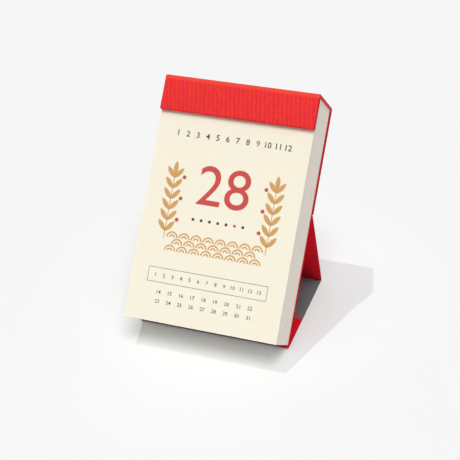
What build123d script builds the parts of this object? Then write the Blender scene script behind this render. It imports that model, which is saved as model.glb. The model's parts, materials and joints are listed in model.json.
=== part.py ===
from build123d import *
import math
import os

# Tear off day calendar that stands on a desk. All sizes are in millimetres and degrees.

# Leaves
page_width = 99.0
page_height = 151.6
leaf_thickness = 0.0962
cover_leaf_thickness = 0.2
backing_card_thickness = 0.7
days_in_months = {
    "january": 31,
    "february": 28,
    "march": 31,
    "april": 30,
    "may": 31,
    "june": 30,
    "july": 31,
    "august": 31,
    "september": 30,
    "october": 31,
    "november": 30,
    "december": 31,
}

# Binding along the top edge of the block
glue_thickness = 0.14
mull_thickness = 0.2

# Cloth covered case
case_overhang = 0.5
header_height = 22.3
header_gap = 0.6
board_thickness = 2.0
back_board_thickness = 2.4
cloth_thickness = 0.3
lining_thickness = 0.24
carrier_board_thickness = 1.4
left_turn_in = 0.35
right_turn_in = 9.5
foot_drop = 2.1
case_corner_radius = 1.6

# Tear line of the top leaf, below the header
tear_line_drop = 1.0
tear_gap = 0.35

# Stand
lean_angle = 34.0
leg_hinge_height = 82.6
leg_open_angle = 62.3
leg_board_thickness = 1.4
flap_length = 32.4
flap_board_thickness = 0.9
stay_thickness = 0.4
stay_clearance = 0.1

# Cloth hinges of the leg and of the foot flap
hinge_cloth_thickness = 0.25
hinge_clearance = 0.3
hinge_inset = 2.3
hinge_glue_height = 8.0
leg_hinge_wrap = (60.0, 180.0)
foot_hinge_lift = 0.1

# The page frame: X across, Y from the front of the block to its back, Z up the page.
# Its zero is the lower front edge of the block.
case_width = page_width + 2 * case_overhang
board_width = case_width - 2 * cloth_thickness
hinge_width = case_width - 2 * hinge_inset
block_depth = cover_leaf_thickness + sum(days_in_months.values()) * leaf_thickness + backing_card_thickness

header_lining_front = -header_gap - lining_thickness
header_board_front = header_lining_front - board_thickness
header_front = header_board_front - cloth_thickness
mull_top = page_height + glue_thickness + mull_thickness
spine_top = mull_top + board_thickness
case_top = spine_top + cloth_thickness
header_bottom = case_top - header_height
carrier_board_front = block_depth + cloth_thickness
carrier_board_back = carrier_board_front + carrier_board_thickness
carrier_back = carrier_board_back + cloth_thickness
upper_back_front = carrier_back + hinge_cloth_thickness
case_back = upper_back_front + back_board_thickness + cloth_thickness
foot_bottom = -foot_drop

leg_radius = leg_board_thickness / 2 + cloth_thickness
leg_hinge_depth = carrier_back + hinge_cloth_thickness + hinge_clearance + leg_radius
upper_back_bottom = leg_hinge_height + leg_radius + hinge_clearance + hinge_cloth_thickness
leg_glue_top = upper_back_bottom + hinge_glue_height
flap_thickness = flap_board_thickness + 2 * cloth_thickness
flap_radius = flap_thickness / 2
flap_hinge_depth = carrier_back + hinge_cloth_thickness + hinge_clearance + flap_radius
tear_line = header_bottom - tear_line_drop

# The desk frame: Z up, the desk at zero. The case leans back and stands on its foot.
lean_sine = math.sin(math.radians(lean_angle))
lean_cosine = math.cos(math.radians(lean_angle))


def leaned(depth, height):
    return depth * lean_cosine + height * lean_sine, height * lean_cosine - depth * lean_sine


foot_y, foot_z = leaned(carrier_back, foot_bottom)


def on_desk(depth, height):
    y, z = leaned(depth, height)
    return y, z - foot_z


# The flap's hinge lies one flap radius above the desk, and its cloth ends just above the desk
flap_hinge_height = (flap_radius + foot_z + flap_hinge_depth * lean_sine) / lean_cosine
flap_hinge_y = on_desk(flap_hinge_depth, flap_hinge_height)[0]
foot_hinge_outer = flap_radius + hinge_clearance + hinge_cloth_thickness
foot_hinge_end = math.degrees(math.asin((flap_radius - foot_hinge_lift) / foot_hinge_outer))
foot_hinge_wrap = (180.0, 180.0 + lean_angle + foot_hinge_end)
flap_end_y = foot_y + flap_length
flap_reach = flap_end_y - flap_hinge_y

# The leg is as long as it takes to reach the desk
leg_hinge_y, leg_hinge_z = on_desk(leg_hinge_depth, leg_hinge_height)
leg_tilt = math.radians(leg_open_angle - lean_angle)
leg_reach = (leg_hinge_z - leg_radius) / math.cos(leg_tilt)
leg_foot_y = leg_hinge_y + leg_reach * math.sin(leg_tilt)


def panel(width, front, back, bottom, top):
    return Pos(0, (front + back) / 2, (bottom + top) / 2) * Box(width, back - front, top - bottom)


def across(profile, width):
    return extrude(Plane.YZ * profile, width / 2, both=True)


def round_top_edges(solid, height, radius):
    edges = [edge for edge in solid.edges().filter_by(Axis.X) if abs(edge.center().Z - height) < 0.001]
    return fillet(edges, radius)


def lean_back(solid):
    return Pos(0, 0, -foot_z) * Rot(-lean_angle, 0, 0) * solid


# Block of leaves, bound along its top edge

def month_packets():
    packets = {}
    front = cover_leaf_thickness
    for month, days in days_in_months.items():
        back = front + days * leaf_thickness
        packets[month + "_leaves"] = panel(page_width, front, back, 0, page_height)
        front = back
    packets["backing_card"] = panel(page_width, front, block_depth, 0, page_height)
    return packets


def top_leaf():
    return {
        "cover_leaf": panel(page_width, 0, cover_leaf_thickness, 0, tear_line - tear_gap),
        "cover_stub": panel(page_width, 0, cover_leaf_thickness, tear_line + tear_gap, page_height),
    }


def binding():
    glue_top = page_height + glue_thickness
    return {
        "glue_film": panel(page_width, 0, block_depth, page_height, glue_top),
        "mull_strip": panel(page_width, 0, block_depth, glue_top, mull_top),
    }


# Cloth hinge strip: a glued tab on the carrier and a wrap round the hinged edge

def hinge_strip(hinge_depth, hinge_height, edge_radius, wrap, tab_top):
    inner = edge_radius + hinge_clearance
    outer = inner + hinge_cloth_thickness
    start, end = [math.radians(angle) for angle in wrap]
    middle = (start + end) / 2

    def on_arc(radius, angle):
        return radius * math.cos(angle), radius * math.sin(angle)

    outline = [
        ThreePointArc(on_arc(outer, start), on_arc(outer, middle), on_arc(outer, end)),
        Line(on_arc(outer, end), on_arc(inner, end)),
        ThreePointArc(on_arc(inner, end), on_arc(inner, middle), on_arc(inner, start)),
        Line(on_arc(inner, start), on_arc(outer, start)),
    ]
    fold = Pos(0, hinge_depth, hinge_height) * across(make_face(outline), hinge_width)
    tab = panel(hinge_width, carrier_back, upper_back_front, hinge_height, tab_top)
    return fold + tab


# Case: boards, linings and cloth

def header_spine_and_back():
    header_foot = header_bottom + cloth_thickness
    back_foot = upper_back_bottom + cloth_thickness
    header_board = panel(board_width, header_board_front, header_lining_front, header_foot, spine_top)
    back_board = panel(board_width, upper_back_front, case_back - cloth_thickness, back_foot, spine_top)
    inner_corner = min(case_corner_radius - cloth_thickness, 0.95 * board_thickness)
    front_edges = header_board.edges().filter_by(Axis.X).group_by(Axis.Z)[-1].sort_by(Axis.Y)
    back_edges = back_board.edges().filter_by(Axis.X).group_by(Axis.Z)[-1].sort_by(Axis.Y)
    pieces = {
        "header_board": fillet(front_edges[0], inner_corner),
        "spine_board": panel(board_width, header_lining_front, upper_back_front, mull_top, spine_top),
        "upper_back_board": fillet(back_edges[-1], inner_corner),
        "header_lining": panel(board_width, header_lining_front, -header_gap, header_foot, mull_top),
        "upper_back_lining": panel(board_width, carrier_back, upper_back_front, leg_glue_top, mull_top),
        "leg_hinge_strip": hinge_strip(
            leg_hinge_depth, leg_hinge_height, leg_radius, leg_hinge_wrap, leg_glue_top
        ),
    }
    wrapped = (
        panel(case_width, header_front, -header_gap, header_bottom, case_top)
        + panel(case_width, header_front, case_back, mull_top, case_top)
        + panel(case_width, carrier_back, case_back, upper_back_bottom, case_top)
    )
    wrapped = round_top_edges(wrapped, case_top, case_corner_radius)
    for inside in pieces.values():
        wrapped -= inside
    pieces["case_cloth"] = wrapped
    return pieces


# Carrier: the cloth turns in over both sides of its front, and a dark lining lies between them

def carrier():
    board = panel(
        board_width, carrier_board_front, carrier_board_back, foot_bottom + cloth_thickness, mull_top
    )
    lining_width = case_width - left_turn_in - right_turn_in
    lining = panel(lining_width, block_depth, carrier_board_front, foot_bottom, mull_top)
    lining = Pos((left_turn_in - right_turn_in) / 2, 0, 0) * lining
    flap_glue_top = flap_hinge_height + hinge_glue_height
    return {
        "carrier_board": board,
        "carrier_lining": lining,
        "carrier_cloth": panel(case_width, block_depth, carrier_back, foot_bottom, mull_top) - board - lining,
        "foot_hinge_strip": hinge_strip(
            flap_hinge_depth, flap_hinge_height, flap_radius, foot_hinge_wrap, flap_glue_top
        ),
    }


# Leg: hangs from its hinge axis, round at both ends, then swung out to the desk

def leg():
    def hanging(width, radius):
        profile = Pos(0, -leg_reach / 2) * SlotCenterToCenter(leg_reach, 2 * radius, rotation=90)
        return across(profile, width)

    board = hanging(board_width, leg_board_thickness / 2)
    pieces = {"leg_board": board, "leg_cloth": hanging(case_width, leg_radius) - board}
    swing = Pos(0, leg_hinge_depth, leg_hinge_height) * Rot(leg_open_angle, 0, 0)
    return {name: swing * piece for name, piece in pieces.items()}


# Flap and stay: they lie on the desk behind the foot

def flap():
    def lying(width, radius, reach):
        slab = panel(width, 0, reach, -radius, radius)
        return slab + across(Circle(radius), width)

    board = lying(board_width, flap_board_thickness / 2, flap_reach - cloth_thickness)
    pieces = {"flap_board": board, "flap_cloth": lying(case_width, flap_radius, flap_reach) - board}
    return {name: Pos(0, flap_hinge_y, flap_radius) * piece for name, piece in pieces.items()}


def stay():
    foot_half_width = math.sqrt(leg_radius**2 - (leg_radius - stay_thickness) ** 2)
    back = leg_foot_y - foot_half_width - stay_clearance
    return {"stay_sheet": panel(case_width, flap_end_y + stay_clearance, back, 0, stay_thickness)}


# Everything stands on the desk, with the middle of the base at the origin

page_pieces = top_leaf() | month_packets() | binding() | header_spine_and_back() | carrier() | leg()
desk_pieces = {name: lean_back(piece) for name, piece in page_pieces.items()} | flap() | stay()
box = Compound(children=[Compound([piece]) for piece in desk_pieces.values()]).bounding_box()
middle_y = (box.min.Y + box.max.Y) / 2

os.makedirs("parts", exist_ok=True)
for name, piece in desk_pieces.items():
    solid = (Pos(0, -middle_y, 0) * piece).solids()
    export_step(solid[0], os.path.join("parts", name + ".step"))
    if len(solid) != 1:
        print(name, "has", len(solid), "solids")

tear_y, tear_z = on_desk(cover_leaf_thickness, tear_line)
print("box", box.min, box.max)
print("leg hinge  y %.4f  z %.4f  reach %.3f" % (leg_hinge_y - middle_y, leg_hinge_z, leg_reach))
print("flap hinge y %.4f  z %.4f  reach %.3f" % (flap_hinge_y - middle_y, flap_radius, flap_reach))
print("tear line  y %.4f  z %.4f" % (tear_y - middle_y, tear_z))
print("leg foot y %.4f  flap end y %.4f  case foot y %.4f" % (
    leg_foot_y - middle_y, flap_end_y - middle_y, foot_y - middle_y))
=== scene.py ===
import json
import math
import random

import bmesh
import bpy
from mathutils import Matrix, Vector


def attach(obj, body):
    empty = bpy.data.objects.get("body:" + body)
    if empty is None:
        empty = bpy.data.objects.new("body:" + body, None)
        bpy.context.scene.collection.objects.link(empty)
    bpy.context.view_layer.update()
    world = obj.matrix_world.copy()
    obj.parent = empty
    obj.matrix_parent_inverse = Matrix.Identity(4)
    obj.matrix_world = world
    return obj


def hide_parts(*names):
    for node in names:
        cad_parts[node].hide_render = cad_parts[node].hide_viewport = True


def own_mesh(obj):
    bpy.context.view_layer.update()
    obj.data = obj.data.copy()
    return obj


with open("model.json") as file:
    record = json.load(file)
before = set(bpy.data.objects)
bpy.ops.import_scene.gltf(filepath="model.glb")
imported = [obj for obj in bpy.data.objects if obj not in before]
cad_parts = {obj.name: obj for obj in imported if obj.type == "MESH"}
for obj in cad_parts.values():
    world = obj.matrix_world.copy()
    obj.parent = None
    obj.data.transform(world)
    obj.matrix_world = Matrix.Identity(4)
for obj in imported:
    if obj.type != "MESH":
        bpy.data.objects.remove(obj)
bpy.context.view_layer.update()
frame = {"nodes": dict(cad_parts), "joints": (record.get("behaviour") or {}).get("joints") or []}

mm = 0.001

# How the calendar stands: the lean of the block and the swing of the leg, from upright
stance = dict(leanDegrees=34.0, legSwingDegrees=28.3)

joints = {joint["name"]: joint for joint in frame["joints"]}
legHinge = Vector(joints["leg_fold"]["pos_m"])
flapHinge = Vector(joints["flap_fold"]["pos_m"])
tearLine = Vector(joints["leaf_lift"]["pos_m"])

# Three spaces to build in. Page: x across, y to the back, z up the page, zero on the tear line.
# Leg: the leg hangs down from its hinge. Desk: the flap lies back from its hinge.
pageTurn = Matrix.Rotation(-math.radians(stance["leanDegrees"]), 4, "X")
legTurn = Matrix.Rotation(math.radians(stance["legSwingDegrees"]), 4, "X")
pageSpace = Matrix.Translation(tearLine) @ pageTurn
legSpace = Matrix.Translation(legHinge) @ legTurn
deskSpace = Matrix.Translation(flapHinge)


class Slab:
    # a CAD node's low and high corners, measured square to one of the three spaces
    def __init__(self, node, space):
        toSpace = space.inverted()
        points = [toSpace @ vertex.co for vertex in frame["nodes"][node].data.vertices]
        self.low = Vector([min(point[i] for point in points) for i in range(3)])
        self.high = Vector([max(point[i] for point in points) for i in range(3)])
        self.size = self.high - self.low


# Mesh helpers

weldDistance = 0.001 * mm  # corners closer than this are one
planeSlack = 0.01 * mm  # corners within this of a plane lie on it
sharpDegrees = 38  # edges that turn more than this stay sharp
squareShare = 0.99  # a direction with this much X in it runs along X


def slabMesh(low, high):
    bm = bmesh.new()
    bmesh.ops.create_cube(bm, size=1.0)
    bmesh.ops.scale(bm, vec=high - low, verts=bm.verts)
    bmesh.ops.translate(bm, vec=(low + high) / 2, verts=bm.verts)
    return bm


def joinMesh(bm, other):
    # adds another mesh's shape to this one
    passing = bpy.data.meshes.new("passing")
    other.to_mesh(passing)
    other.free()
    bm.from_mesh(passing)
    bpy.data.meshes.remove(passing)


def bevelEdges(bm, edges, width, steps):
    bmesh.ops.bevel(bm, geom=edges, offset=width, offset_type="OFFSET", affect="EDGES",
                    segments=steps, profile=0.5, material=-1, clamp_overlap=True)


def edgesAlongX(bm):
    return [e for e in bm.edges if abs((e.verts[0].co - e.verts[1].co).normalized().x) > squareShare]


def sideEdges(bm):
    # the outlines of the faces that look along X
    return [e for e in bm.edges if any(abs(face.normal.x) > squareShare for face in e.link_faces)]


def hollowFor(bm, node, space):
    # the room inside a cover: the board's own faces, turned round
    core = frame["nodes"][node].data.copy()
    core.transform(space.inverted())
    room = bmesh.new()
    room.from_mesh(core)
    bmesh.ops.remove_doubles(room, verts=room.verts, dist=weldDistance)
    bmesh.ops.reverse_faces(room, faces=room.faces)
    room.to_mesh(core)
    room.free()
    bm.from_mesh(core)
    bpy.data.meshes.remove(core)


def finishPiece(name, bm, space, material, body, nodes=(), smooth=True):
    bmesh.ops.transform(bm, matrix=space, verts=bm.verts)
    mesh = bpy.data.meshes.new(name)
    bm.to_mesh(mesh)
    bm.free()
    piece = bpy.data.objects.new(name, mesh)
    bpy.context.scene.collection.objects.link(piece)
    mesh.materials.append(material)
    if smooth:
        mesh.shade_smooth()
        mesh.set_sharp_from_angle(angle=math.radians(sharpDegrees))
    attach(piece, body)
    if nodes:
        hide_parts(*nodes)
    return piece


# Materials

def srgb(red, green, blue):
    def linear(value):
        value = value / 255
        return value / 12.92 if value <= 0.04045 else ((value + 0.055) / 1.055) ** 2.4
    return (linear(red), linear(green), linear(blue), 1.0)


class Wire:
    # a shader socket that takes part in Python sums
    def __init__(self, tree, socket):
        self.tree = tree
        self.socket = socket

    def maths(self, operation, first, second=None):
        node = self.tree.nodes.new("ShaderNodeMath")
        node.operation = operation
        for i, value in enumerate([first, second]):
            if isinstance(value, Wire):
                self.tree.links.new(value.socket, node.inputs[i])
            elif value is not None:
                node.inputs[i].default_value = value
        return Wire(self.tree, node.outputs[0])

    def __add__(self, other):
        return self.maths("ADD", self, other)

    def __sub__(self, other):
        return self.maths("SUBTRACT", self, other)

    def __rsub__(self, other):
        return self.maths("SUBTRACT", other, self)

    def __mul__(self, other):
        return self.maths("MULTIPLY", self, other)

    __radd__ = __add__
    __rmul__ = __mul__

    def size(self):
        return self.maths("ABSOLUTE", self)

    def sine(self):
        return self.maths("SINE", self)

    def power(self, exponent):
        return self.maths("POWER", self, exponent)

    def above(self, floor):
        return self.maths("MAXIMUM", self, floor)


class Finish:
    # one material: its nodes, and what they feed on the surface
    def __init__(self, name, **fixed):
        self.material = bpy.data.materials.new(name)
        self.material.use_nodes = True
        self.tree = self.material.node_tree
        self.surface = self.tree.nodes["Principled BSDF"]
        for socket, value in fixed.items():
            self.surface.inputs[socket.replace("_", " ")].default_value = value

    def node(self, kind, settings=None, inputs=None, output=0):
        made = self.tree.nodes.new(kind)
        for key, value in (settings or {}).items():
            setattr(made, key, value)
        for key, value in (inputs or {}).items():
            if isinstance(value, Wire):
                self.tree.links.new(value.socket, made.inputs[key])
            else:
                made.inputs[key].default_value = value
        return Wire(self.tree, made.outputs[output])

    def feed(self, socket, wire):
        self.tree.links.new(wire.socket, self.surface.inputs[socket])

    def place(self, space):
        # millimetres across, to the back and up, square to one of the three spaces
        turn = space.inverted().to_euler()
        coords = self.node("ShaderNodeTexCoord", output=3)
        turned = self.node("ShaderNodeMapping", {"vector_type": "POINT"},
                           {"Vector": coords, "Rotation": turn, "Scale": (1 / mm, 1 / mm, 1 / mm)})
        return [self.node("ShaderNodeSeparateXYZ", None, {"Vector": turned}, i) for i in range(3)]

    def vector(self, x, y, z):
        return self.node("ShaderNodeCombineXYZ", None, {"X": x, "Y": y, "Z": z})

    def noise(self, vector, scale, detail=2.0, roughness=0.5):
        return self.node("ShaderNodeTexNoise", {"noise_dimensions": "3D"},
                         {"Vector": vector, "Scale": scale, "Detail": detail, "Roughness": roughness})

    def mix(self, share, first, second):
        inputs = {0: share, 6: first, 7: second}
        return self.node("ShaderNodeMix", {"data_type": "RGBA", "clamp_factor": True}, inputs, 2)

    def rise(self, value, start, end, interpolation="LINEAR"):
        # 0 up to the start, 1 from the end
        return self.node("ShaderNodeMapRange", {"interpolation_type": interpolation},
                         {"Value": value, "From Min": start, "From Max": end})

    def bump(self, height, distance):
        inputs = {"Height": height, "Distance": distance, "Strength": 1.0}
        self.feed("Normal", self.node("ShaderNodeBump", None, inputs))


clothLook = dict(
    warm=srgb(243, 70, 47), cool=srgb(239, 44, 66), shade=srgb(208, 10, 24),
    streaks=1.45, streakPitch=2.8, streakDrift=6.0, skew=0.167,
    threadPitch=0.42, pickPitch=0.5, weaveShade=0.16, slubShade=0.1, relief=0.06 * mm,
    # painted shade: a deeper red on the two sides
    side=srgb(192, 0, 20), sideStart=49.6, sideEnd=49.95,
    # painted highlight: a paler red along the top fold, where light from above falls
    foldHighlight=srgb(247, 79, 63), foldHighlightShare=0.75, foldHighlightReach=1.0,
)
# a darker copy of the same cloth, painted shade, for the carrier, its hinges, the leg and the flap
shadedClothLook = dict(
    clothLook, warm=srgb(236, 34, 36), cool=srgb(232, 18, 50), shade=srgb(196, 2, 24), streaks=0.4,
)


def bookCloth(name, space, look, fold=None):
    # fine rib cloth: threads run along the wrap, with broad streaks, a little askew, that come and go.
    # Its two sides are painted a deeper red, as painted shade. Where a fold is given, a paler red is painted
    # along that fold and on the ends of the spine behind it, as a painted highlight.
    cloth = Finish(name, Roughness=0.75, Specular_IOR_Level=0.06)
    x, back, up = cloth.place(space)
    wrap = back + up
    across = x + wrap * look["skew"]
    wander = cloth.noise(cloth.vector(across * 0.5, wrap * 0.12, 0.0), 1.0, 3.0)
    drift = wander * look["streakDrift"]
    wave = (across * (2 * math.pi / look["streakPitch"]) + drift).sine() * 0.5 + 0.5
    fade = cloth.noise(cloth.vector(across * 0.7, wrap * 0.45, 9.0), 1.0, 3.0)
    streak = (wave * 0.55 + fade * 1.3 - 0.92) * look["streaks"] + 0.5
    thread = (x * (2 * math.pi / look["threadPitch"])).sine()
    pick = (wrap * (2 * math.pi / look["pickPitch"])).sine()
    weave = thread * pick * 0.5 + 0.5
    slub = cloth.noise(cloth.vector(x * 2.2, wrap * 0.25, 0.0), 1.0, 3.0)
    dyed = cloth.mix(streak, look["warm"], look["cool"])
    hollows = (1 - weave) * look["weaveShade"] + (1 - slub) * look["slubShade"]
    woven = cloth.mix(hollows, dyed, look["shade"])
    # painted shade: a deeper red on the two sides
    side = cloth.rise(x.size(), look["sideStart"], look["sideEnd"])
    red = cloth.mix(side, woven, look["side"])
    # painted highlight: a paler red along the fold and on the spine's ends
    if fold is not None:
        reach = look["foldHighlightReach"]
        high = cloth.rise(up, fold.z - reach, fold.z)
        behind = cloth.rise(back, fold.y - reach, fold.y + reach)
        red = cloth.mix(high * (1 - behind).above(side) * look["foldHighlightShare"], red, look["foldHighlight"])
    cloth.feed("Base Color", red)
    cloth.feed("Roughness", 0.62 + slub * 0.22)
    cloth.bump(weave * 0.7 + slub * 0.5, look["relief"])
    return cloth.material


paperLook = dict(page=srgb(248, 242, 224), pageDim=srgb(244, 237, 216), cloudScale=0.09, fibreScale=2.6,
                 relief=0.012 * mm)


def coverPaper():
    # cream uncoated paper, clouded a little where the next leaf shows through
    look = paperLook
    paper = Finish("coverPaper", Roughness=0.9, Specular_IOR_Level=0.25)
    x, _, up = paper.place(pageSpace)
    flat = paper.vector(x, 0.0, up)
    cloud = paper.noise(flat, look["cloudScale"], 3.0)
    fibre = paper.noise(flat, look["fibreScale"], 4.0, 0.7)
    paper.feed("Base Color", paper.mix(cloud * 0.55 + fibre * 0.35, look["page"], look["pageDim"]))
    paper.feed("Roughness", 0.82 + fibre * 0.15)
    paper.bump(fibre, look["relief"])
    return paper.material


edgeLook = dict(light=srgb(255, 249, 240), dark=srgb(246, 234, 220), leafPitch=0.0962, bunchScale=1.9,
                nickScale=3.0, relief=0.03 * mm)


def leafEdges():
    # cut edges of stacked leaves: fine lines along every side, in uneven bunches
    look = edgeLook
    edges = Finish("leafEdges", Roughness=0.92, Specular_IOR_Level=0.2)
    x, back, up = edges.place(pageSpace)
    bunch = edges.noise(edges.vector(x * 0.01, back * look["bunchScale"], up * 0.01), 1.0, 4.0, 0.7)
    leaf = edges.noise(edges.vector(x * 0.03, back * (1 / look["leafPitch"]), up * 0.03), 1.0, 2.0)
    nick = edges.noise(edges.vector(x * 0.4, back * look["nickScale"], up * 0.4), 1.0, 3.0)
    shade = bunch * 0.6 + leaf * 0.5 + nick * 0.2 - 0.15
    edges.feed("Base Color", edges.mix(shade, look["light"], look["dark"]))
    edges.feed("Roughness", 0.85 + leaf * 0.12)
    edges.bump(leaf * 0.7 + bunch * 0.6, look["relief"])
    return edges.material


def plainStock(name, space, light, dark, grain, relief, roughness=0.9):
    # boards, linings and other plain sheets: a mottled stock with a short grain
    stock = Finish(name, Roughness=roughness, Specular_IOR_Level=0.25)
    x, back, up = stock.place(space)
    speck = stock.noise(stock.vector(x, back, up), grain, 5.0, 0.65)
    cloud = stock.noise(stock.vector(x, back, up), grain * 0.12, 2.0)
    stock.feed("Base Color", stock.mix(speck * 0.65 + cloud * 0.35, light, dark))
    stock.feed("Roughness", roughness - 0.08 + speck * 0.14)
    stock.bump(speck, relief)
    return stock.material


# painted shade: the dark grey of the stay sheet
stayShadeLook = dict(light=srgb(116, 123, 123), dark=srgb(102, 109, 109), grain=2.2, relief=0.012 * mm,
                     # painted reflection: red light from the flap near its glued end
                     redBounce=srgb(168, 84, 86), redBounceStart=3.0, redBounceEnd=12.0)


def stayStock():
    # dark grey sheet, painted shade for the shade under the leg, with painted red light from the flap's cloth
    # in the end that is glued to it
    look = stayShadeLook
    stock = Finish("stayPaintedShade", Roughness=0.9, Specular_IOR_Level=0.25)
    x, back, up = stock.place(deskSpace)
    speck = stock.noise(stock.vector(x, back, up), look["grain"], 5.0, 0.65)
    grey = stock.mix(speck, look["light"], look["dark"])
    # painted reflection: red light from the flap, fading away from its end
    clear = stock.rise(back, look["redBounceStart"], look["redBounceEnd"], "SMOOTHSTEP")
    stock.feed("Base Color", stock.mix(clear, look["redBounce"], grey))
    stock.feed("Roughness", 0.82 + speck * 0.14)
    stock.bump(speck, look["relief"])
    return stock.material


def printInk(name, light, dark):
    # offset ink on uncoated paper: a little uneven where the paper drinks it
    ink = Finish(name, Roughness=0.8, Specular_IOR_Level=0.3)
    x, back, up = ink.place(pageSpace)
    drink = ink.noise(ink.vector(x, back, up), 1.7, 4.0, 0.7)
    ink.feed("Base Color", ink.mix(drink, light, dark))
    ink.feed("Roughness", 0.7 + drink * 0.2)
    return ink.material


# where the header turns into the spine, in millimetres as the materials count them
spineFoot = Slab("spine_board", pageSpace).low.z
headerRear = Slab("header_board", pageSpace).high.y
foldCorner = (Vector((0, headerRear, spineFoot)) + pageTurn.inverted() @ tearLine) / mm
caseClothFinish = bookCloth("caseClothFinish", pageSpace, clothLook, foldCorner)
# the carrier, leg and flap take the darker copy of the cloth: painted shade
carrierClothFinish = bookCloth("carrierClothFinish", pageSpace, shadedClothLook)
legClothFinish = bookCloth("legClothFinish", legSpace, shadedClothLook)
flapClothFinish = bookCloth("flapClothFinish", deskSpace, shadedClothLook)
pagePaper = coverPaper()
blockPaper = leafEdges()
greyBoard = plainStock("greyBoard", pageSpace, srgb(172, 168, 160), srgb(140, 135, 128), 3.0, 0.03 * mm)
redPaper = plainStock("redPaper", legSpace, srgb(206, 30, 42), srgb(186, 20, 32), 2.0, 0.015 * mm, 0.8)
rawCard = plainStock("rawCard", pageSpace, srgb(214, 204, 188), srgb(190, 178, 160), 2.5, 0.03 * mm)
padGlue = plainStock("padGlue", pageSpace, srgb(238, 234, 224), srgb(224, 219, 206), 1.5, 0.02 * mm, 0.5)
gauze = plainStock("gauze", pageSpace, srgb(236, 231, 218), srgb(206, 200, 184), 4.0, 0.05 * mm)
stayPaintedShade = stayStock()
# painted shade: the dark lining on the carrier's front stands for the shadow at the foot
paintedShadeLining = plainStock("paintedShadeLining", pageSpace, srgb(66, 66, 67), srgb(52, 52, 54), 2.2, 0.012 * mm)
darkInk = printInk("darkInk", srgb(74, 73, 66), srgb(62, 61, 56))
redInk = printInk("redInk", srgb(210, 84, 78), srgb(198, 74, 70))
tanInk = printInk("tanInk", srgb(216, 168, 104), srgb(206, 156, 92))
print("materials ready")

# CAD nodes that keep their own shape
nodeFinish = dict(
    header_board=greyBoard, spine_board=greyBoard, upper_back_board=greyBoard, carrier_board=greyBoard,
    leg_board=greyBoard, flap_board=greyBoard, header_lining=redPaper, upper_back_lining=redPaper,
    carrier_lining=paintedShadeLining, backing_card=rawCard, glue_film=padGlue, mull_strip=gauze,
)
for node, finish in nodeFinish.items():
    mesh = frame["nodes"][node].data
    mesh.materials.clear()
    mesh.materials.append(finish)
print("boards, linings and binding finished")

# Case cloth: one sheet over header, spine and upper back, turned round the edges of the boards
caseCloth = dict(thickness=0.28 * mm, foldRadius=1.6 * mm, foldSteps=6, footRadius=1.0 * mm, footSteps=5,
                 sideRadius=0.45 * mm, sideSteps=3, cornerDegrees=60)


def makeCaseCloth():
    cloth = Slab("case_cloth", pageSpace)
    header = Slab("header_lining", pageSpace)
    back = Slab("upper_back_lining", pageSpace)
    upperBack = Slab("upper_back_board", pageSpace)
    headerFoot = header.low.z - (cloth.high.z - upperBack.high.z)
    outline = [
        (header.high.y, headerFoot), (cloth.low.y, headerFoot),
        (cloth.low.y, cloth.high.z), (cloth.high.y, cloth.high.z),
        (cloth.high.y, cloth.low.z), (back.low.y, cloth.low.z),
        (back.low.y, back.high.z), (header.high.y, back.high.z),
    ]

    def onPlane(verts, axis, value):
        return all(abs(v.co[axis] - value) < planeSlack for v in verts)

    def onInnerSide(verts):
        # behind the header, in front of the upper back or under the spine
        planes = [(1, header.high.y), (1, back.low.y), (2, back.high.z)]
        return any(onPlane(verts, axis, value) for axis, value in planes)

    bm = bmesh.new()
    rim = [bm.verts.new((cloth.low.x, y, z)) for y, z in outline]
    start = bm.faces.new(rim)
    grown = bmesh.ops.extrude_face_region(bm, geom=[start])
    moved = [v for v in grown["geom"] if isinstance(v, bmesh.types.BMVert)]
    bmesh.ops.translate(bm, vec=(cloth.size.x, 0, 0), verts=moved)
    bmesh.ops.recalc_face_normals(bm, faces=bm.faces)
    top = [e for e in edgesAlongX(bm) if onPlane(e.verts, 2, cloth.high.z)]
    bevelEdges(bm, top, caseCloth["foldRadius"], caseCloth["foldSteps"])
    corner = math.radians(caseCloth["cornerDegrees"])
    feet = [e for e in edgesAlongX(bm) if e.calc_face_angle(0) > corner and not onInnerSide(e.verts)]
    bevelEdges(bm, feet, caseCloth["footRadius"], caseCloth["footSteps"])
    bm.normal_update()
    sides = [e for e in sideEdges(bm) if not onInnerSide(e.verts)]
    bevelEdges(bm, sides, caseCloth["sideRadius"], caseCloth["sideSteps"])
    inner = [f for f in bm.faces if onInnerSide(f.verts)]
    bmesh.ops.delete(bm, geom=inner, context="FACES")
    bmesh.ops.recalc_face_normals(bm, faces=bm.faces)
    bmesh.ops.solidify(bm, geom=bm.faces[:], thickness=caseCloth["thickness"])
    finishPiece("caseCover", bm, pageSpace, caseClothFinish, "case", ["case_cloth"])


makeCaseCloth()
print("case cloth wrapped")

# Carrier, leg and flap: boards wrapped in cloth on every side
coverSteps = dict(end=6, edge=3)
boardCovers = dict(
    carrierCover=dict(node="carrier_cloth", core="carrier_board", space=pageSpace, finish=carrierClothFinish,
                      body="case", endRadius=0.42 * mm, edgeRadius=0.25 * mm, setBack=0.05 * mm),
    legCover=dict(node="leg_cloth", core="leg_board", space=legSpace, finish=legClothFinish,
                  body="leg", endRadius=0.97 * mm, edgeRadius=0.45 * mm, setBack=0.0),
    flapCover=dict(node="flap_cloth", core="flap_board", space=deskSpace, finish=flapClothFinish,
                   body="flap", endRadius=0.55 * mm, edgeRadius=0.35 * mm, setBack=0.0),
)


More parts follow.
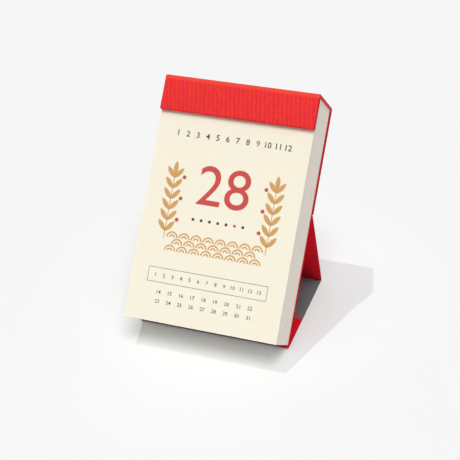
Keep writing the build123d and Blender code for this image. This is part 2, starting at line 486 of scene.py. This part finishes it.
def makeBoardCover(name, cover):
    # the carrier's front is set back a hair, so that its dark lining, painted shade along the foot, lies on
    # the cloth
    slab = Slab(cover["node"], cover["space"])
    bm = slabMesh(slab.low + Vector((0, cover["setBack"], 0)), slab.high)
    bevelEdges(bm, edgesAlongX(bm), cover["endRadius"], coverSteps["end"])
    bm.normal_update()
    bevelEdges(bm, sideEdges(bm), cover["edgeRadius"], coverSteps["edge"])
    hollowFor(bm, cover["core"], cover["space"])
    finishPiece(name, bm, cover["space"], cover["finish"], cover["body"], [cover["node"]])


for name, cover in boardCovers.items():
    makeBoardCover(name, cover)
print("carrier, leg and flap covered")

# Block: each month is a stack of small bundles whose cut edges don't quite line up
blockLook = dict(seed=7, bundleLeaves=4, leafThickness=edgeLook["leafPitch"] * mm, spread=0.05 * mm)
months = ["january", "february", "march", "april", "may", "june", "july", "august",
          "september", "october", "november", "december"]
draw = random.Random(blockLook["seed"])


def makeMonth(month):
    node = month + "_leaves"
    slab = Slab(node, pageSpace)
    bundles = max(1, round(slab.size.y / blockLook["leafThickness"] / blockLook["bundleLeaves"]))
    depth = slab.size.y / bundles
    bm = bmesh.new()
    for i in range(bundles):
        slack = [draw.uniform(0, blockLook["spread"]) for side in range(3)]
        low = Vector((slab.low.x + slack[0], slab.low.y + i * depth, slab.low.z + slack[1]))
        high = Vector((slab.high.x - slack[2], slab.low.y + (i + 1) * depth, slab.high.z))
        joinMesh(bm, slabMesh(low, high))
    name = month + "Leaves"
    finishPiece(name, bm, pageSpace, blockPaper, "case", [node], smooth=False)


for month in months:
    makeMonth(month)
print("twelve months of leaves stacked")

# Top leaf and its stub: short teeth along the tear line, each opposite a gap of the other sheet
leafLook = dict(toothPitch=2.0 * mm, toothShare=0.45, toothReach=0.3 * mm)
leafSlab = Slab("cover_leaf", pageSpace)
stubSlab = Slab("cover_stub", pageSpace)


def makeTornSheet(name, slab, edge, reach, offset, body, node):
    bm = slabMesh(slab.low, slab.high)
    count = int(slab.size.x / leafLook["toothPitch"])
    pitch = slab.size.x / count
    for i in range(count):
        left = slab.low.x + (i + offset - leafLook["toothShare"] / 2) * pitch
        right = min(left + leafLook["toothShare"] * pitch, slab.high.x)
        low = Vector((max(left, slab.low.x), slab.low.y, min(edge, edge + reach)))
        high = Vector((right, slab.high.y, max(edge, edge + reach)))
        joinMesh(bm, slabMesh(low, high))
    finishPiece(name, bm, pageSpace, pagePaper, body, [node], smooth=False)


makeTornSheet("coverLeaf", leafSlab, leafSlab.high.z, leafLook["toothReach"], 0.5, "leaf", "cover_leaf")
makeTornSheet("coverStub", stubSlab, stubSlab.low.z, -leafLook["toothReach"], 0.0, "case", "cover_stub")
print("top leaf laid")

# Print on the top leaf: plain figures, leafy sprigs and a band of waves, in three inks.
# Places are in millimetres from the middle of the page's foot.
printLook = dict(film=0.02 * mm, sink=0.004 * mm, roundSides=14, archSteps=12)
monthStrip = dict(up=119.0, height=3.7, pitch=6.5, chosen=9, weight=0.012)
dayFigure = dict(words="28", up=88.5, height=25.0, smoothness=8)
weekDots = dict(up=66.5, radius=0.95, pitch=5.4, days=7, chosen=5)
sprigs = dict(away=33.0, foot=52.0, tip=101.0, stem=0.55, leafLength=8.6, leafWidth=3.0, leafPoint=0.6,
              bareTip=0.8, pairs=6, firstPair=0.7, spreadDegrees=38.0, berry=1.25, berryIn=6.4, berryUp=1.2)
waveBand = dict(up=45.0, rows=3, columns=8, radius=3.7, rings=2, line=0.95, gap=0.5)
ruledBox = dict(low=24.5, high=33.5, halfWidth=38.5, line=0.28)
smallFigures = dict(
    height=2.3, weight=0.01, smoothness=2,
    rows=[(29.0, 1, 13, 5.6), (18.6, 14, 22, 7.4), (12.8, 23, 31, 7.4)],  # up, first, last, pitch
)


class InkPlate:
    # flat shapes of one ink, gathered on one plate and pressed on to the leaf
    def __init__(self, name, finish):
        self.name = name
        self.finish = finish
        self.bm = bmesh.new()

    def stamp(self, shape, x, up, turnDegrees=0.0):
        bmesh.ops.rotate(shape, matrix=Matrix.Rotation(math.radians(turnDegrees), 3, "Z"), verts=shape.verts)
        bmesh.ops.translate(shape, vec=(x, up, 0), verts=shape.verts)
        joinMesh(self.bm, shape)

    def figures(self, words, height, x, up, smoothness=3, weight=0.0):
        text = bpy.data.curves.new("figures", "FONT")
        text.body = words
        text.resolution_u = smoothness
        text.offset = weight
        holder = bpy.data.objects.new("figures", text)
        mesh = bpy.data.meshes.new_from_object(holder)
        shape = bmesh.new()
        shape.from_mesh(mesh)
        bpy.data.objects.remove(holder)
        bpy.data.curves.remove(text)
        bpy.data.meshes.remove(mesh)
        low = [min(v.co[i] for v in shape.verts) for i in range(2)]
        high = [max(v.co[i] for v in shape.verts) for i in range(2)]
        scale = height / (high[1] - low[1])
        middle = Vector(((low[0] + high[0]) / 2, (low[1] + high[1]) / 2, 0))
        bmesh.ops.translate(shape, vec=-middle, verts=shape.verts)
        bmesh.ops.scale(shape, vec=(scale, scale, 1), verts=shape.verts)
        self.stamp(shape, x, up)

    def disc(self, radius, x, up):
        shape = bmesh.new()
        bmesh.ops.create_circle(shape, cap_ends=True, segments=printLook["roundSides"], radius=radius)
        self.stamp(shape, x, up)

    def bar(self, left, right, low, high):
        shape = bmesh.new()
        bmesh.ops.create_grid(shape, x_segments=1, y_segments=1, size=0.5)
        bmesh.ops.scale(shape, vec=(right - left, high - low, 1), verts=shape.verts)
        self.stamp(shape, (left + right) / 2, (low + high) / 2)

    def leaf(self, length, width, x, up, turnDegrees):
        # a pointed leaf that grows from its stalk end
        shape = bmesh.new()
        bmesh.ops.create_circle(shape, cap_ends=True, segments=printLook["roundSides"], radius=0.5)
        for vert in shape.verts:
            vert.co.y *= width * (1 - abs(2 * vert.co.x) ** 3 * sprigs["leafPoint"])
            vert.co.x = (vert.co.x + 0.5) * length
        self.stamp(shape, x, up, turnDegrees)

    def arch(self, radius, line, x, up):
        shape = bmesh.new()
        ends = [shape.verts.new((radius - line, 0, 0)), shape.verts.new((radius, 0, 0))]
        start = shape.edges.new(ends)
        bmesh.ops.spin(shape, geom=[start, *ends], cent=(0, 0, 0), axis=(0, 0, 1), dvec=(0, 0, 0),
                       angle=math.pi, steps=printLook["archSteps"], use_merge=False, use_duplicate=False)
        self.stamp(shape, x, up)

    def press(self):
        bm = self.bm
        bmesh.ops.recalc_face_normals(bm, faces=bm.faces)
        turned = [face for face in bm.faces if face.normal.z < 0]
        bmesh.ops.reverse_faces(bm, faces=turned)
        bmesh.ops.scale(bm, vec=(mm, mm, mm), verts=bm.verts)
        bmesh.ops.rotate(bm, matrix=Matrix.Rotation(math.radians(90), 3, "X"), verts=bm.verts)
        front = leafSlab.low.y + printLook["sink"] - printLook["film"]
        bmesh.ops.translate(bm, vec=(0, front, leafSlab.low.z), verts=bm.verts)
        bmesh.ops.solidify(bm, geom=bm.faces[:], thickness=printLook["film"])
        finishPiece(self.name, bm, pageSpace, self.finish, "leaf", smooth=False)


def drawSprig(tan, red, side):
    look = sprigs
    tan.bar(side * look["away"] - look["stem"] / 2, side * look["away"] + look["stem"] / 2,
            look["foot"], look["tip"] - look["leafLength"] * look["bareTip"])
    step = (look["tip"] - look["leafLength"] - look["foot"]) / look["pairs"]
    for i in range(look["pairs"]):
        up = look["foot"] + (i + look["firstPair"]) * step
        for hand in (-1, 1):
            turn = 90 + hand * look["spreadDegrees"]
            tan.leaf(look["leafLength"], look["leafWidth"], side * look["away"], up, turn)
        if i % 2:
            red.disc(look["berry"], side * (look["away"] - look["berryIn"]), up + look["berryUp"])
    tan.leaf(look["leafLength"], look["leafWidth"], side * look["away"], look["tip"] - look["leafLength"], 90)


def drawWaves(tan):
    look = waveBand
    pitch = 2 * look["radius"] + look["gap"]
    for row in range(look["rows"]):
        for column in range(look["columns"] - row % 2):
            x = (column - (look["columns"] - 1 - row % 2) / 2) * pitch
            up = look["up"] + row * (look["radius"] + look["gap"])
            for ring in range(look["rings"]):
                tan.arch(look["radius"] * (1 - ring / look["rings"]), look["line"], x, up)


def drawRuledBox(dark):
    look = ruledBox
    for up in (look["low"], look["high"]):
        dark.bar(-look["halfWidth"], look["halfWidth"], up - look["line"] / 2, up + look["line"] / 2)
    for x in (-look["halfWidth"], look["halfWidth"]):
        dark.bar(x - look["line"] / 2, x + look["line"] / 2, look["low"], look["high"])


def printLeaf():
    dark = InkPlate("printDark", darkInk)
    red = InkPlate("printRed", redInk)
    tan = InkPlate("printTan", tanInk)
    for number in range(1, len(months) + 1):
        plate = red if number == monthStrip["chosen"] else dark
        x = (number - (len(months) + 1) / 2) * monthStrip["pitch"]
        plate.figures(str(number), monthStrip["height"], x, monthStrip["up"], weight=monthStrip["weight"])
    red.figures(dayFigure["words"], dayFigure["height"], 0, dayFigure["up"], dayFigure["smoothness"])
    for day in range(weekDots["days"]):
        plate = red if day == weekDots["chosen"] else dark
        plate.disc(weekDots["radius"], (day - (weekDots["days"] - 1) / 2) * weekDots["pitch"], weekDots["up"])
    for side in (-1, 1):
        drawSprig(tan, red, side)
    drawWaves(tan)
    drawRuledBox(dark)
    look = smallFigures
    for up, first, last, pitch in look["rows"]:
        for number in range(first, last + 1):
            x = (number - (first + last) / 2) * pitch
            dark.figures(str(number), look["height"], x, up, look["smoothness"], look["weight"])
    for plate in (dark, red, tan):
        plate.press()


printLeaf()
print("top leaf printed")

# Cloth hinges: a tab glued to the carrier and a wrap round the edge of the board that turns
hingeCloths = dict(
    legHinge=dict(node="leg_hinge_strip", hinge=legHinge, wrapDegrees=(60, 180)),
    footHinge=dict(node="foot_hinge_strip", hinge=flapHinge, wrapDegrees=(180, 244)),
)
hingeLook = dict(thickness=0.25 * mm, steps=18)


def makeHingeCloth(name, hinge):
    slab = Slab(hinge["node"], pageSpace)
    axis = pageSpace.inverted() @ hinge["hinge"]
    outer = axis.y - slab.low.y
    inner = outer - hingeLook["thickness"]
    start, end = hinge["wrapDegrees"]
    bm = bmesh.new()
    bmesh.ops.create_grid(bm, x_segments=1, y_segments=1, size=0.5)
    bmesh.ops.scale(bm, vec=(slab.size.x, hingeLook["thickness"], 1), verts=bm.verts)
    bmesh.ops.translate(bm, vec=(0, (inner + outer) / 2, 0), verts=bm.verts)
    turn = Matrix.Rotation(math.radians(start), 3, "X")
    bmesh.ops.rotate(bm, matrix=turn, verts=bm.verts)
    bmesh.ops.spin(bm, geom=bm.verts[:] + bm.edges[:] + bm.faces[:], cent=(0, 0, 0), axis=(1, 0, 0),
                   dvec=(0, 0, 0), angle=math.radians(end - start), steps=hingeLook["steps"],
                   use_merge=False, use_duplicate=False)
    bmesh.ops.recalc_face_normals(bm, faces=bm.faces)
    bmesh.ops.translate(bm, vec=(0, axis.y, axis.z), verts=bm.verts)
    tabLow = Vector((slab.low.x, slab.low.y, axis.z))
    tabHigh = Vector((slab.high.x, slab.low.y + hingeLook["thickness"], slab.high.z))
    joinMesh(bm, slabMesh(tabLow, tabHigh))
    finishPiece(name, bm, pageSpace, carrierClothFinish, "case", [hinge["node"]])


for name, hinge in hingeCloths.items():
    makeHingeCloth(name, hinge)
print("cloth hinges glued")


def makeStay():
    slab = Slab("stay_sheet", deskSpace)
    bm = slabMesh(slab.low, slab.high)
    piece = finishPiece("stay", bm, deskSpace, stayPaintedShade, "leg", ["stay_sheet"], smooth=False)
    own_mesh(piece)


makeStay()
print("stay laid")

# Floor, light and camera
raysThatShow = ("Is Camera Ray", "Is Glossy Ray", "Is Transmission Ray")
floorLook = dict(size=6.0, near=srgb(243, 247, 247), far=srgb(239, 240, 240), middle=(0.0, 55.0),
                 nearRadius=70.0, farRadius=165.0, glow=srgb(252, 252, 252), glowShare=0.14)


def floorPaint():
    # matt pale paint with painted light: lighter and cooler round the calendar, against the shade and the red
    # light that the calendar throws on the floor. It glows a little where it is seen, so that the shadows on
    # it stay light.
    look = floorLook
    paint = Finish("floorPaint", Roughness=1.0, Specular_IOR_Level=0.0)
    x, back, _ = paint.place(Matrix.Identity(4))
    aside = x - look["middle"][0]
    behind = back - look["middle"][1]
    away = (aside * aside + behind * behind).power(0.5)
    fade = paint.rise(away, look["nearRadius"], look["farRadius"], "SMOOTHSTEP")
    paint.feed("Base Color", paint.mix(fade, look["near"], look["far"]))
    path = [paint.node("ShaderNodeLightPath", output=ray) for ray in raysThatShow]
    glow = paint.node("ShaderNodeEmission", None, {"Color": look["glow"], "Strength": 1.0})
    matt = Wire(paint.tree, paint.surface.outputs["BSDF"])
    share = (path[0] + path[1] + path[2]) * look["glowShare"]
    floor = paint.node("ShaderNodeMixShader", None, {0: share, 1: matt, 2: glow})
    paint.tree.links.new(floor.socket, paint.tree.nodes["Material Output"].inputs["Surface"])
    return paint.material


def makeFloor():
    bm = bmesh.new()
    bmesh.ops.create_grid(bm, x_segments=1, y_segments=1, size=floorLook["size"] / 2)
    mesh = bpy.data.meshes.new("floor")
    bm.to_mesh(mesh)
    bm.free()
    floor = bpy.data.objects.new("floor", mesh)
    bpy.context.scene.collection.objects.link(floor)
    mesh.materials.append(floorPaint())


lightLook = dict(
    zenith=0.82, ease=2.0, backdrop=0.93,
    key=dict(power=0.62, degrees=0.7, towards=(-0.245, -0.19, 1.0)),
    fill=dict(power=1.61, degrees=28.0, towards=(0.2, -0.5, 1.0)),
)


def makeSun(name, look):
    lamp = bpy.data.lights.new(name, "SUN")
    lamp.energy = look["power"]
    lamp.angle = math.radians(look["degrees"])
    holder = bpy.data.objects.new(name, lamp)
    holder.rotation_euler = Vector(look["towards"]).to_track_quat("Z", "Y").to_euler()
    bpy.context.scene.collection.objects.link(holder)


def makeLights():
    # a studio dome, dark near the floor and bright overhead, a small lamp that draws the shadows
    # and a broad one above the camera that fills them
    world = bpy.data.worlds.new("studio")
    world.use_nodes = True
    dome = world.node_tree
    direction = dome.nodes.new("ShaderNodeTexCoord")
    split = dome.nodes.new("ShaderNodeSeparateXYZ")
    dome.links.new(direction.outputs["Generated"], split.inputs["Vector"])
    height = Wire(dome, split.outputs["Z"])
    path = dome.nodes.new("ShaderNodeLightPath")
    seen = [Wire(dome, path.outputs[ray]) for ray in raysThatShow]
    plain = seen[0] + seen[1] + seen[2]
    level = height.above(0.0).power(lightLook["ease"]) * lightLook["zenith"]
    strength = (1 - plain) * level + plain * lightLook["backdrop"]
    dome.links.new(strength.socket, dome.nodes["Background"].inputs["Strength"])
    dome.nodes["Background"].inputs["Color"].default_value = (1, 1, 1, 1)
    bpy.context.scene.world = world
    for name in ("key", "fill"):
        makeSun(name, lightLook[name])


cameraLook = dict(eye=(0.19085, -0.59668, 0.41631), aim=(0.00077, 0.0, 0.06153), rollDegrees=-0.554,
                  lens=88.02, sensor=36.0)


def makeCamera():
    camera = bpy.data.cameras.new("camera")
    camera.lens = cameraLook["lens"]
    camera.sensor_width = cameraLook["sensor"]
    holder = bpy.data.objects.new("camera", camera)
    eye = Vector(cameraLook["eye"])
    sight = (Vector(cameraLook["aim"]) - eye).to_track_quat("-Z", "Y")
    roll = Matrix.Rotation(-math.radians(cameraLook["rollDegrees"]), 4, "Z")
    holder.matrix_world = Matrix.Translation(eye) @ sight.to_matrix().to_4x4() @ roll
    bpy.context.scene.collection.objects.link(holder)
    bpy.context.scene.camera = holder


makeFloor()
makeLights()
makeCamera()
bpy.context.scene.view_settings.view_transform = "Standard"
print("studio set")
